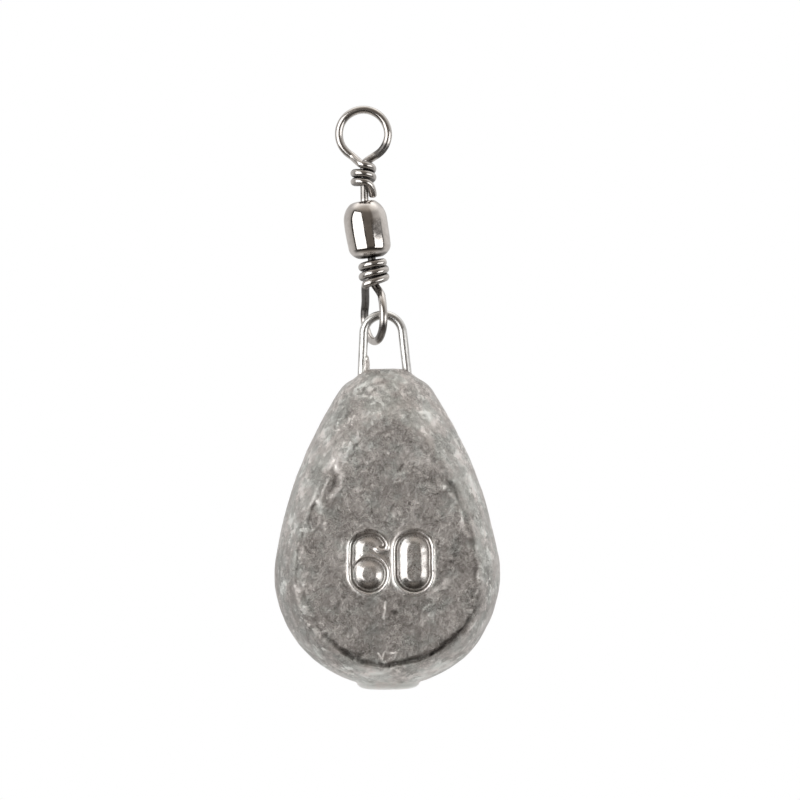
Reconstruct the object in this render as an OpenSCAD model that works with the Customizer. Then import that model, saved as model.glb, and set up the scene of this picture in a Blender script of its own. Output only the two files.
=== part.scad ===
// Flattened pear-shaped lead sinker that hangs on a barrel swivel.
// The origin is the middle of the upper eye's ring, where the line is tied.
// +Z is up, +X is to the right, and the stamped front faces -Y.

/* [Lead body] */
// Radius of the round bottom, which is half the greatest width
bottom_r = 10.7; // [9.6:0.1:12]
// Thickness between the front flat and the back flat
body_depth = 12.2; // [10.6:0.1:14]
// Radius of the belly just above the widest level
belly_r = 11.2; // [10:0.1:13]
// Radius of the long flank
flank_r = 40.6; // [37:0.2:44]
// Radius of the crown, where the flank turns in to the top
crown_r = 5.2; // [4.7:0.1:5.8]
// Lean of the belly where the flank takes over, in degrees
belly_to = 9.5; // [7:0.5:12]
// Lean of the flank where the crown takes over, in degrees
flank_to = 33; // [31:0.5:35]
// Lean of the crown where the small top face cuts it, in degrees
crown_to = 70; // [60:1:80]
// Radius of the trimmed pouring gate under the bottom
gate_r = 2.95; // [2.2:0.05:3.6]
// How far the gate stands below the round bottom
gate_drop = 0.23; // [0.1:0.01:0.5]

/* [Stamped number] */
// Height of a figure
mark_h = 5.7; // [4.5:0.05:7]
// Width of a figure
mark_w = 3.5; // [2.8:0.05:4]
// Width of a stroke
mark_stroke = 0.85; // [0.5:0.05:1.05]
// Depth of the figures
mark_depth = 0.35; // [0.1:0.05:0.8]
// Distance from figure to figure
mark_pitch = 4.2; // [4.1:0.05:5.2]
// How far the figures reach below the widest level
mark_low = 1.6; // [1:0.05:3]
// How far the pair of figures sits to the right of the middle
mark_offset = 0.4; // [-1:0.05:1]

/* [Cast-in wire loop] */
// Thickness of the loop's wire
loop_wire_d = 0.85; // [0.7:0.01:1]
// Radius of the loop's arch, to the middle of the wire
arch_r = 1.85; // [1.65:0.05:2.2]
// Height of the arch's middle above the top of the lead
loop_rise = 3.4; // [3.2:0.1:5]
// How far each leg spreads, in degrees
leg_splay = 4.4; // [0:0.1:7]
// How deep the straight legs reach into the lead
leg_cast = 12; // [8:0.5:14]
// Radius of the bend of each leg's foot
foot_bend_r = 1.6; // [1.2:0.1:2.4]
// How far each foot bends outward, in degrees
foot_turn = 80; // [45:5:100]
// Height of the lead that crept up the left leg
creep_h = 1.4; // [0.6:0.1:2.2]
// Radius of that lead where it leaves the body
creep_r = 0.4; // [0.2:0.05:0.6]

/* [Swivel barrel] */
// Outer diameter of the barrel
barrel_d = 4.15; // [3.9:0.05:5]
// Length of the barrel
barrel_len = 5.6; // [5.1:0.05:7]
// Thickness of the side wall
barrel_side = 0.6; // [0.4:0.05:0.8]
// Thickness of each end wall
barrel_end = 0.8; // [0.6:0.05:0.9]
// Height of the round shoulder at the top
top_shoulder = 1.8; // [1.3:0.05:2.2]
// Height of the round shoulder at the bottom
low_shoulder = 1.3; // [1:0.05:1.9]

/* [Swivel eyes] */
// Thickness of the wire of both eyes
eye_wire_d = 0.76; // [0.6:0.01:0.85]
// Radius of both rings, to the middle of the wire
ring_r = 2.33; // [2.2:0.01:2.8]
// Radius of the upset head inside the barrel
head_r = 0.9; // [0.75:0.05:1.05]
// Height of the head
head_h = 1; // [0.7:0.05:1.15]
// Gap round the shaft in the barrel's end
shaft_clear = 0.1; // [0.07:0.01:0.14]
// Turns of wire round the upper shaft
upper_turns = 2.25; // [1.5:0.25:3]
// Turns of wire round the lower shaft
lower_turns = 2.4; // [1.5:0.05:3]

/* [How it hangs] */
// Lean of the upper eye, in degrees
upper_lean = 0.9; // [0:0.1:3]
// Lean of the barrel, in degrees
barrel_lean = 8; // [4:0.1:8.6]
// Lean of the lower eye, in degrees
lower_lean = 2.2; // [1:0.1:4]
// Lean of the loop, in degrees
loop_lean = 2; // [0:0.1:4]
// Lean of the lead body, in degrees
body_lean = 0.54; // [0:0.02:2]
// How far the lower ring is turned from facing the front, in degrees
link_turn = 67; // [55:1:80]
// Smallest gap between the loop's wire and the lower ring
link_gap = 0.2; // [0.1:0.01:0.3]

/* [Hidden] */
$fn = 64;
// How far a cut runs past the face that it opens
overrun = 0.5;
// Steps of each outline arc
arc_steps = 10;

// Shares of the gate that its rounded lower edge takes
gate_edge_w_share = 0.45;
gate_edge_h_share = 0.8;
// Height of the end of the 6's hook, as a share of the figure's half width
hook_end_share = 0.4;
// The number's place above the body's origin, the widest level
mark_shift = [mark_offset, 0, -mark_low];

// How far the body's middle lies to the right of the loop's middle at the top of the lead
body_offset = 0.2;
// How far the loop's middle lies to the right of the lower ring's middle
link_offset = 0.88;
// Height, above the lower ring's middle, at which the arch goes through the ring
link_rise = 0.11;
// The arch goes through the ring at a slant, which widens its cut by this share
link_slant_share = 1.12;
// Where the crept lead starts below the top of the lead, and how thick it ends
creep_root = 0.6;
creep_tip_r = 0.1;

// The shaft and strand meet this share of the ring's radius from its middle
neck_share = 1.18;
// Radius of the bend from the shaft into the ring's strand
neck_bend_r = 0.7;
// Gap between the shaft and the wraps
upper_wrap_gap = 0.1;
lower_wrap_gap = 0.33;
// Gap between one wrap and the next
upper_turn_gap = 0.04;
lower_turn_gap = 0.09;
// From the neck to the level at which the strand crosses in front of the shaft
upper_cross_drop = 0.18;
lower_cross_drop = 0.2;
// From the end of the wraps to the barrel's end
upper_show = 1.62;
lower_show = 0.46;
// How far the cut tail of the wire bends away from the wraps
upper_tail = 0.7;
lower_tail = 0;
// The tail bends over this much of the last turn, in degrees
tail_arc = 80;
// Gap between each head and its end wall
upper_head_play = 0.15;
lower_head_play = 0.7;
// Bevel of the head and of the corners of the cavity
head_bevel = 0.25;
cavity_bevel = 0.3;
// Flat rim round each hole of the barrel
rim_w = 0.27;

// Fineness of the wound wire
wrap_sides = 12;
turn_steps = 24;
strand_steps = 8;
bend_steps = 6;
// Each stretch of bent wire starts this far inside the ring or shaft, and is this much thinner
wrap_root = 0.06;
wrap_inset = 0.005;
// How hard the strand is pulled towards its two ends
strand_pull = 0.5;

wire_r = eye_wire_d / 2;
loop_r = loop_wire_d / 2;
hole_r = wire_r + shaft_clear;
cavity_r = barrel_d / 2 - barrel_side;
neck = ring_r * neck_share;
neck_turn = asin(1 / neck_share);
upper_pitch = eye_wire_d + upper_turn_gap;
lower_pitch = eye_wire_d + lower_turn_gap;
upper_wrap_r = eye_wire_d + upper_wrap_gap;
lower_wrap_r = eye_wire_d + lower_wrap_gap;
upper_cross = neck + upper_cross_drop;
lower_cross = neck + lower_cross_drop;
upper_reach = upper_cross + upper_turns * upper_pitch + upper_show + barrel_end / 2;
lower_reach = lower_cross + lower_turns * lower_pitch + lower_show + barrel_end / 2;
half_span = (barrel_len - barrel_end) / 2;
bend_z = -neck - neck_bend_r * tan(neck_turn / 2);

// A direction leaned to the left at its top
function lean(v, a) = [v.x * cos(a) - v.z * sin(a), v.y, v.x * sin(a) + v.z * cos(a)];
function unit(v) = v / norm(v);

// Places down the chain, from the upper ring to the lead
upper_hole_at = lean([0, 0, -upper_reach], upper_lean);
barrel_at = upper_hole_at + lean([0, 0, -half_span], barrel_lean);
lower_hole_at = barrel_at + lean([0, 0, -half_span], barrel_lean);
lower_ring_at = lower_hole_at + lean([0, 0, -lower_reach], lower_lean);

// The arch goes through the lower ring at this point, beside the strand that comes forward
ring_side = lean([cos(link_turn), -sin(link_turn), 0], lower_lean);
ring_normal = lean([sin(link_turn), cos(link_turn), 0], lower_lean);
ring_up = lean([0, 0, 1], lower_lean);
link_room = ring_r - wire_r - loop_r * link_slant_share - link_gap;
link_in = sqrt(link_room ^ 2 - link_rise ^ 2);
link_at = lower_ring_at + link_in * ring_side + link_rise * ring_up;
loop_x = lower_ring_at.x + link_offset;
arch_drop = sqrt(arch_r ^ 2 - (link_at.x - loop_x) ^ 2);
loop_at = [loop_x, link_at.y, link_at.z - arch_drop];
top_at = loop_at + [body_offset, 0, -loop_rise];

// Points of an arc of the outline
function arc(centre, r, from, to) =
    [for (i = [0:arc_steps]) let (a = from + (to - from) * i / arc_steps)
        centre + r * [cos(a), sin(a)]];
// Points of a quarter of an ellipse
function shoulder(corner, w, h, from, to) =
    [for (i = [0:arc_steps]) let (a = from + (to - from) * i / arc_steps)
        corner + [w * sin(a), h * cos(a)]];

// Outline of the pear, with its origin at the widest level
gate_low = -bottom_r - gate_drop;
gate_meet = asin(gate_r / bottom_r);
gate_wall = -bottom_r * cos(gate_meet) - gate_low;
gate_edge = [gate_r * gate_edge_w_share, gate_wall * gate_edge_h_share];
belly_c = [bottom_r - belly_r, 0];
flank_c = belly_c + (belly_r - flank_r) * [cos(belly_to), sin(belly_to)];
crown_c = flank_c + (flank_r - crown_r) * [cos(flank_to), sin(flank_to)];
top_h = crown_c.y + crown_r * sin(crown_to);
pear_outline = concat(
    [[0, gate_low]],
    shoulder([gate_r - gate_edge.x, gate_low + gate_edge.y], gate_edge.x, -gate_edge.y, 0, 90),
    arc([0, 0], bottom_r, gate_meet - 90, 0),
    arc(belly_c, belly_r, belly_to / arc_steps, belly_to),
    arc(flank_c, flank_r, belly_to + (flank_to - belly_to) / arc_steps, flank_to),
    arc(crown_c, crown_r, flank_to + (crown_to - flank_to) / arc_steps, crown_to),
    [[0, top_h]]
);

// The solid of the pear, cut to its two flats
module pear() {
    intersection() {
        rotate_extrude() polygon(pear_outline);
        translate([-bottom_r - overrun, -body_depth / 2, gate_low - overrun])
            cube([2 * (bottom_r + overrun), body_depth, top_h - gate_low + 2 * overrun]);
    }
}

module stadium(w, h) {
    translate([-w / 2, w / 2]) square([w, h - w]);
    translate([0, w / 2]) circle(w / 2);
    translate([0, h - w / 2]) circle(w / 2);
}

module figure_0() {
    difference() {
        stadium(mark_w, mark_h);
        translate([0, mark_stroke]) stadium(mark_w - 2 * mark_stroke, mark_h - 2 * mark_stroke);
    }
}

// A bowl, a straight stem and a hook that opens to the right
module figure_6() {
    half = mark_w / 2;
    hook_y = mark_h - half;
    hook_end = half * hook_end_share;
    translate([0, half]) difference() {
        circle(half);
        circle(half - mark_stroke);
    }
    translate([-half, half]) square([mark_stroke, hook_y - half]);
    intersection() {
        translate([0, hook_y]) difference() {
            circle(half);
            circle(half - mark_stroke);
        }
        union() {
            translate([-half, hook_y]) square([half, half]);
            translate([0, hook_y + hook_end]) square([half, half]);
        }
    }
}

// The number sunk into the front flat
module stamped_number() {
    translate([0, -body_depth / 2, 0] + mark_shift) rotate([90, 0, 0])
        translate([0, 0, -mark_depth]) linear_extrude(mark_depth + overrun) {
            translate([-mark_pitch / 2, 0]) figure_6();
            translate([mark_pitch / 2, 0]) figure_0();
        }
}

// An arc of round wire in the XZ plane, from one angle to another
module wire_arc(r, wire, from, to) {
    rotate([90, 0, 0]) rotate([0, 0, from])
        rotate_extrude(angle = to - from) translate([r, 0]) circle(wire);
}

// Half of the loop: half the arch, one leg and its foot, with the origin at the arch's middle
leg_len = (arch_r * sin(leg_splay) + loop_rise + leg_cast) / cos(leg_splay);
module half_loop() {
    wire_arc(arch_r, loop_r, leg_splay, 90);
    rotate([0, -leg_splay, 0]) {
        translate([arch_r, 0, -leg_len]) cylinder(h = leg_len, r = loop_r);
        translate([arch_r + foot_bend_r, 0, -leg_len])
            wire_arc(foot_bend_r, loop_r, 180, 180 + foot_turn);
    }
}

module loop_in_place() {
    translate(loop_at) rotate([0, -loop_lean, 0]) {
        half_loop();
        mirror([1, 0, 0]) half_loop();
    }
}

// The lead that crept up the inner side of the left leg
module crept_lead() {
    root_z = -loop_rise - creep_root;
    translate(loop_at) rotate([0, leg_splay - loop_lean, 0])
        translate([loop_r - arch_r, 0, root_z])
            cylinder(h = creep_root + creep_h, r1 = creep_r, r2 = creep_tip_r);
}

module on_body() {
    translate(top_at) rotate([0, -body_lean, 0]) translate([0, 0, -top_h]) children();
}

// The cast lead, with the loop's channel and the stamped number
module sinker_body() {
    color([0.56, 0.55, 0.53]) difference() {
        union() {
            on_body() pear();
            crept_lead();
        }
        loop_in_place();
        on_body() stamped_number();
    }
}

// The loop that is cast into the lead
module wire_loop() {
    color([0.82, 0.82, 0.8]) loop_in_place();
}

// Outline of the barrel's wall, with its origin in the middle of the barrel
barrel_h = barrel_len / 2;
rim_r = hole_r + rim_w;
shoulder_w = barrel_d / 2 - rim_r;
cavity_h = barrel_h - barrel_end;
barrel_outline = concat(
    shoulder([rim_r, barrel_h - top_shoulder], shoulder_w, top_shoulder, 0, 90),
    shoulder([rim_r, low_shoulder - barrel_h], shoulder_w, -low_shoulder, 90, 0),
    [
        [hole_r, -barrel_h],
        [hole_r, -cavity_h],
        [cavity_r - cavity_bevel, -cavity_h],
        [cavity_r, cavity_bevel - cavity_h],
        [cavity_r, cavity_h - cavity_bevel],
        [cavity_r - cavity_bevel, cavity_h],
        [hole_r, cavity_h],
        [hole_r, barrel_h]
    ]
);

// The hollow barrel that holds both heads
module swivel_barrel() {
    color([0.72, 0.69, 0.64]) translate(barrel_at) rotate([0, -barrel_lean, 0])
        rotate_extrude() polygon(barrel_outline);
}

// Path of the strand that leaves the ring, crosses in front of the shaft and winds round it.
// The ring is round the origin in the XZ plane, and the shaft runs down.
function wrap_path(wrap_r, pitch, cross_z, turns, tail) =
    let (
        away = [sin(neck_turn), 0, -cos(neck_turn)],
        leave = [-ring_r * cos(neck_turn), 0, -ring_r * sin(neck_turn)],
        slope = atan(pitch / (2 * PI * wrap_r)),
        meet = [0, -wrap_r, -cross_z],
        pull_1 = leave + strand_pull * away,
        pull_2 = meet - strand_pull * [cos(slope), 0, -sin(slope)],
        last = turns * turn_steps,
        tail_from = turns * 360 - tail_arc
    )
    concat(
        [leave - wrap_root * away],
        [for (i = [0:strand_steps - 1]) let (t = i / strand_steps, s = 1 - t)
            s ^ 3 * leave + 3 * s ^ 2 * t * pull_1 + 3 * s * t ^ 2 * pull_2 + t ^ 3 * meet],
        [for (i = [0:last]) let (a = 360 * i / turn_steps, b = max(0, a - tail_from) / tail_arc)
            [wrap_r * sin(a), -wrap_r * cos(a), -cross_z - pitch * a / 360 - tail * b ^ 2]]
    );

// Path of the bend from the top of the shaft into the ring's other strand
function neck_path() =
    let (
        back = [sin(neck_turn), 0, cos(neck_turn)],
        join = [ring_r * cos(neck_turn), 0, -ring_r * sin(neck_turn)]
    )
    concat(
        [[0, 0, bend_z - wrap_root]],
        [for (i = [0:bend_steps]) let (a = neck_turn * i / bend_steps)
            [neck_bend_r * (1 - cos(a)), 0, bend_z + neck_bend_r * sin(a)]],
        [join, join + wrap_root * back]
    );

function tangents(p) =
    [for (i = [0:len(p) - 1]) unit(p[min(i + 1, len(p) - 1)] - p[max(i - 1, 0)])];
function across(v, t) = unit(v - (v * t) * t);
// Directions square to the path that turn with it without twisting
function normals(t, first) =
    [for (v = across(first, t[0]), i = 0; i < len(t);
        v = across(v, t[min(i + 1, len(t) - 1)]), i = i + 1) v];

// One unbroken round wire along a path, with a round end of the given reach
module bent_wire(path, r, tip_len) {
    dirs = tangents(path);
    sides = normals(dirs, [0, 1, 0]);
    last = len(path) - 1;
    end = path[last];
    rings = concat(
        [for (i = [0:last]) [path[i], r, dirs[i], sides[i]]],
        [for (a = [30, 60]) [end + tip_len * sin(a) * dirs[last], r * cos(a), dirs[last], sides[last]]]
    );
    tip = end + tip_len * dirs[last];
    n = wrap_sides;
    m = len(rings) - 1;
    points = concat(
        [for (g = rings) for (k = [0:n - 1]) let (a = 360 * k / n)
            g[0] + g[1] * (cos(a) * g[3] + sin(a) * cross(g[2], g[3]))],
        [tip]
    );
    faces = concat(
        [[for (k = [0:n - 1]) k]],
        [for (i = [0:m - 1]) for (k = [0:n - 1]) let (j = (k + 1) % n)
            [i * n + k, (i + 1) * n + k, (i + 1) * n + j]],
        [for (i = [0:m - 1]) for (k = [0:n - 1]) let (j = (k + 1) % n)
            [i * n + k, (i + 1) * n + j, i * n + j]],
        [for (k = [0:n - 1]) [m * n + k, len(points) - 1, m * n + (k + 1) % n]]
    );
    polyhedron(points, faces);
}

upper_path = wrap_path(upper_wrap_r, upper_pitch, upper_cross, upper_turns, upper_tail);
lower_path = wrap_path(lower_wrap_r, lower_pitch, lower_cross, lower_turns, lower_tail);

// One eye of the swivel, all of one wire: head, shaft, bend, strand, ring and wraps.
// The shaft reaches down to the middle of the barrel's end wall.
module eye(path, reach, head_play) {
    face_z = -reach - barrel_end / 2 - head_play;
    rotate_extrude() polygon([
        [0, bend_z],
        [wire_r, bend_z],
        [wire_r, face_z],
        [head_r - head_bevel, face_z],
        [head_r, face_z - head_bevel],
        [head_r, face_z - head_h + head_bevel],
        [head_r - head_bevel, face_z - head_h],
        [0, face_z - head_h]
    ]);
    bent_wire(neck_path(), wire_r - wrap_inset, wrap_root);
    wire_arc(ring_r, wire_r, -neck_turn, 180 + neck_turn);
    bent_wire(path, wire_r - wrap_inset, wire_r);
}

// The upper eye, which the line is tied to
module upper_eye() {
    color([0.78, 0.77, 0.74]) rotate([0, -upper_lean, 0])
        eye(upper_path, upper_reach, upper_head_play);
}

// The lower eye, which the loop hangs in
module lower_eye() {
    color([0.78, 0.77, 0.74]) translate(lower_ring_at)
        rotate([0, -lower_lean, 0]) rotate([0, 0, -link_turn]) mirror([0, 0, 1])
            eye(lower_path, lower_reach, lower_head_play);
}

// Least distance between two stretches of a wound wire that are half a turn or more apart
function least_gap(p) =
    min([for (i = [0:len(p) - 1]) for (j = [i + turn_steps / 2:1:len(p) - 1]) norm(p[i] - p[j])])
        - eye_wire_d;
echo(upper_wrap_least_gap = least_gap(upper_path), lower_wrap_least_gap = least_gap(lower_path));
echo(upper_axis = lean([0, 0, 1], upper_lean), upper_hole_at = upper_hole_at);
echo(lower_axis = ring_up, lower_hole_at = lower_hole_at, lower_ring_at = lower_ring_at);
echo(ring_normal = ring_normal, ring_side = ring_side, link_at = link_at);
echo(barrel_at = barrel_at, loop_at = loop_at, top_at = top_at, top_h = top_h);

sinker_body();
wire_loop();
swivel_barrel();
upper_eye();
lower_eye();
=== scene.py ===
"""The fishing sinker as it was photographed: lead body, cast-in wire loop and barrel swivel."""

import math

import bpy
import numpy as np
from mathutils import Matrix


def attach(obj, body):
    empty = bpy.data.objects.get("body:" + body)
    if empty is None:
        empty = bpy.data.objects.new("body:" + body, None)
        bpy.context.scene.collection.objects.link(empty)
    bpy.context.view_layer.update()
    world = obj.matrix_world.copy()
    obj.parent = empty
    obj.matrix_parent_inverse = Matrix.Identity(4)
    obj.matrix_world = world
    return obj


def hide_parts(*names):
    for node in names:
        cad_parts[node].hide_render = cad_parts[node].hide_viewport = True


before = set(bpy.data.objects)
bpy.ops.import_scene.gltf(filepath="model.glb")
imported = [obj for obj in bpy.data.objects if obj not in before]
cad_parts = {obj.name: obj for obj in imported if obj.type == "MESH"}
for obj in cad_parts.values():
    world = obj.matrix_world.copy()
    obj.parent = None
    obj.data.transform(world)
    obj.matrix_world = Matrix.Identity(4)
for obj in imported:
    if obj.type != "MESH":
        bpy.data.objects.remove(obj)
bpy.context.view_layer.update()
MM = 0.001

# ---- the same sizes as the solids, in millimetres ----
EYE_R, RING_R = 0.38, 2.33
NECK = RING_R * 1.18
NECK_TURN = math.asin(1 / 1.18)
NECK_BEND_R = 0.7
BEND_Z = -NECK - NECK_BEND_R * math.tan(NECK_TURN / 2)
HEAD_R, HEAD_H, HEAD_BEVEL = 0.9, 1.0, 0.25
BARREL_D, BARREL_LEN, BARREL_SIDE, BARREL_END = 4.15, 5.6, 0.6, 0.8
TOP_SHOULDER, LOW_SHOULDER = 1.8, 1.05
LOOP_R, ARCH_R, LOOP_RISE, LEG_SPLAY, LEG_CAST = 0.425, 1.85, 3.4, 4.4, 12.0
FOOT_BEND_R, FOOT_TURN = 1.6, 80.0
UPPER_LEAN, BARREL_LEAN, LOWER_LEAN, LOOP_LEAN, BODY_LEAN = 0.9, 8.0, 2.2, 2.0, 0.54
LINK_TURN = 67.0
LOWER_RING_AT = np.array([0.998592, 0.0, -17.3469])
BARREL_AT = np.array([0.44003, 0.0, -9.12521])
LOOP_AT = np.array([1.87859, -1.16834, -19.0267])
TOP_AT = np.array([2.07859, -1.16834, -22.4267])
TOP_H = 19.3142
DEPTH = 6.1


def lean(points, degrees):
    """Leans points to the left at their top."""
    a = math.radians(degrees)
    p = np.asarray(points, float)
    x = p[..., 0] * math.cos(a) - p[..., 2] * math.sin(a)
    z = p[..., 0] * math.sin(a) + p[..., 2] * math.cos(a)
    return np.stack([x, p[..., 1], z], -1)


def turned(points, angle):
    """Points turned about the Z axis."""
    p = np.asarray(points, float)
    x = p[..., 0] * math.cos(angle) - p[..., 1] * math.sin(angle)
    y = p[..., 0] * math.sin(angle) + p[..., 1] * math.cos(angle)
    return np.stack([x, y, p[..., 2]], -1)


def lattice(ix, iy, iz, seed):
    """A repeatable value from 0 to 1 for each whole-number place."""
    h = (ix * 374761393 + iy * 668265263 + iz * 2147483647 + seed * 974634777) & 0xFFFFFFFF
    h = ((h ^ (h >> 13)) * 1274126177) & 0xFFFFFFFF
    h = ((h ^ (h >> 16)) * 2246822519) & 0xFFFFFFFF
    return (h & 0xFFFFFF) / float(0xFFFFFF)


def smooth_noise(p, size, seed):
    """Noise from -1 to 1 whose lumps are about size across."""
    q = np.asarray(p, float) / size
    i = np.floor(q).astype(np.int64)
    f = q - i
    f = f * f * f * (f * (f * 6 - 15) + 10)
    total = 0.0
    for dx in (0, 1):
        for dy in (0, 1):
            for dz in (0, 1):
                w = ((f[..., 0] if dx else 1 - f[..., 0])
                     * (f[..., 1] if dy else 1 - f[..., 1])
                     * (f[..., 2] if dz else 1 - f[..., 2]))
                total = total + w * lattice(i[..., 0] + dx, i[..., 1] + dy, i[..., 2] + dz, seed)
    return total * 2 - 1


def layered(p, size, layers, seed, fade=0.5):
    """Several sizes of noise on top of each other."""
    total, weight = 0.0, 1.0
    for k in range(layers):
        total = total + weight * smooth_noise(p, size / 2 ** k, seed + k)
        weight *= fade
    return total


def uneven(points, amount, size, seed):
    """Points moved a little each way, because no real wire is perfectly even."""
    return points + amount * np.stack([layered(points, size, 2, seed + k) for k in range(3)], -1)


def step(x, low, high):
    """A smooth rise from 0 at low to 1 at high."""
    t = np.clip((np.asarray(x, float) - low) / (high - low), 0, 1)
    return t * t * (3 - 2 * t)


def build(name, points, faces, body, nodes, material):
    """A smooth mesh piece, given in millimetres."""
    mesh = bpy.data.meshes.new(name)
    mesh.from_pydata((np.asarray(points) * MM).tolist(), [], faces)
    mesh.shade_smooth()
    mesh.update()
    piece = bpy.data.objects.new(name, mesh)
    bpy.context.scene.collection.objects.link(piece)
    mesh.materials.append(material)
    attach(piece, body)
    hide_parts(*nodes)
    return piece


def give(piece, name, values):
    """Stores a value for each point, which the piece's shader reads."""
    piece.data.attributes.new(name, "FLOAT", "POINT").data.foreach_set(
        "value", np.asarray(values, np.float32).reshape(-1))


# ---- materials ----
class Graph:
    """Short names for making and joining shader nodes."""

    def __init__(self, tree):
        self.tree = tree
        tree.nodes.clear()

    def add(self, kind, inputs=None, **settings):
        node = self.tree.nodes.new(kind)
        for k, v in settings.items():
            setattr(node, k, v)
        for k, v in (inputs or {}).items():
            if isinstance(v, bpy.types.NodeSocket):
                self.tree.links.new(v, node.inputs[k])
            else:
                node.inputs[k].default_value = v
        return node

    def math(self, op, a, b=0.0):
        return self.add("ShaderNodeMath", {0: a, 1: b}, operation=op).outputs[0]

    def chain(self, op, first, others):
        for other in others:
            first = self.math(op, first, other)
        return first

    def plus(self, first, *others):
        return self.chain("ADD", first, others)

    def times(self, first, *others):
        return self.chain("MULTIPLY", first, others)

    def most(self, first, *others):
        return self.chain("MAXIMUM", first, others)

    def minus(self, a, b):
        return self.math("SUBTRACT", a, b)

    def scaled(self, vector, scale):
        return self.add("ShaderNodeVectorMath", {0: vector, "Scale": scale}, operation="SCALE").outputs[0]

    def vector(self, op, a, b):
        return self.add("ShaderNodeVectorMath", {0: a, 1: b}, operation=op).outputs[0]

    def stored(self, name):
        """The value that give() stored under this name."""
        return self.add("ShaderNodeAttribute", attribute_name=name).outputs["Fac"]

    def span(self, value, low, high, to_low=0.0, to_high=1.0):
        return self.add("ShaderNodeMapRange", {
            "Value": value, "From Min": low, "From Max": high, "To Min": to_low, "To Max": to_high,
        }, interpolation_type="SMOOTHSTEP").outputs[0]

    def noise(self, vector, scale, detail=4.0, rough=0.6, distortion=0.0):
        return self.add("ShaderNodeTexNoise", {
            "Vector": vector, "Scale": scale, "Detail": detail, "Roughness": rough,
            "Distortion": distortion,
        }).outputs[0]

    def cells(self, vector, scale, warp):
        """A level value for each of many small cells with ragged edges."""
        drift = self.add("ShaderNodeTexNoise", {"Vector": vector, "Scale": scale * 1.3, "Detail": 3.0})
        moved = self.add("ShaderNodeVectorMath", {0: drift.outputs["Color"], 1: (warp,) * 3, 2: vector},
                         operation="MULTIPLY_ADD").outputs[0]
        cell = self.add("ShaderNodeTexVoronoi", {"Vector": moved, "Scale": scale}).outputs["Color"]
        return self.add("ShaderNodeSeparateXYZ", {0: cell}).outputs[0]

    def ramp(self, value, stops):
        node = self.add("ShaderNodeValToRGB", {0: value})
        ramp = node.color_ramp
        while len(ramp.elements) < len(stops):
            ramp.elements.new(0.5)
        for e, (place, colour) in zip(ramp.elements, stops):
            e.position = place
            e.color = (*colour, 1)
        return node.outputs[0]

    def bump(self, height, distance, strength):
        return self.add("ShaderNodeBump", {
            "Height": height, "Distance": distance, "Strength": strength}).outputs[0]

    def millimetres(self):
        return self.scaled(self.add("ShaderNodeTexCoord").outputs["Object"], 1000.0)


def material(name):
    made = bpy.data.materials.new(name)
    made.use_nodes = True
    return made, Graph(made.node_tree)


# How far the bumps stand out, in metres
LEAD_BUMP, WIRE_BUMP = 0.00019, 0.000007
LEAD_SHADE = 0.305
LEAD_COLOURS = [
    (0.10, (0.075, 0.07, 0.065)), (0.36, (0.24, 0.23, 0.220)), (0.52, (0.37, 0.359, 0.346)),
    (0.70, (0.58, 0.57, 0.556)), (0.95, (0.86, 0.852, 0.84))]
LEAD_COOL, LEAD_WARM = (0.985, 1.0, 0.975), (1.0, 0.955, 0.93)


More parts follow.
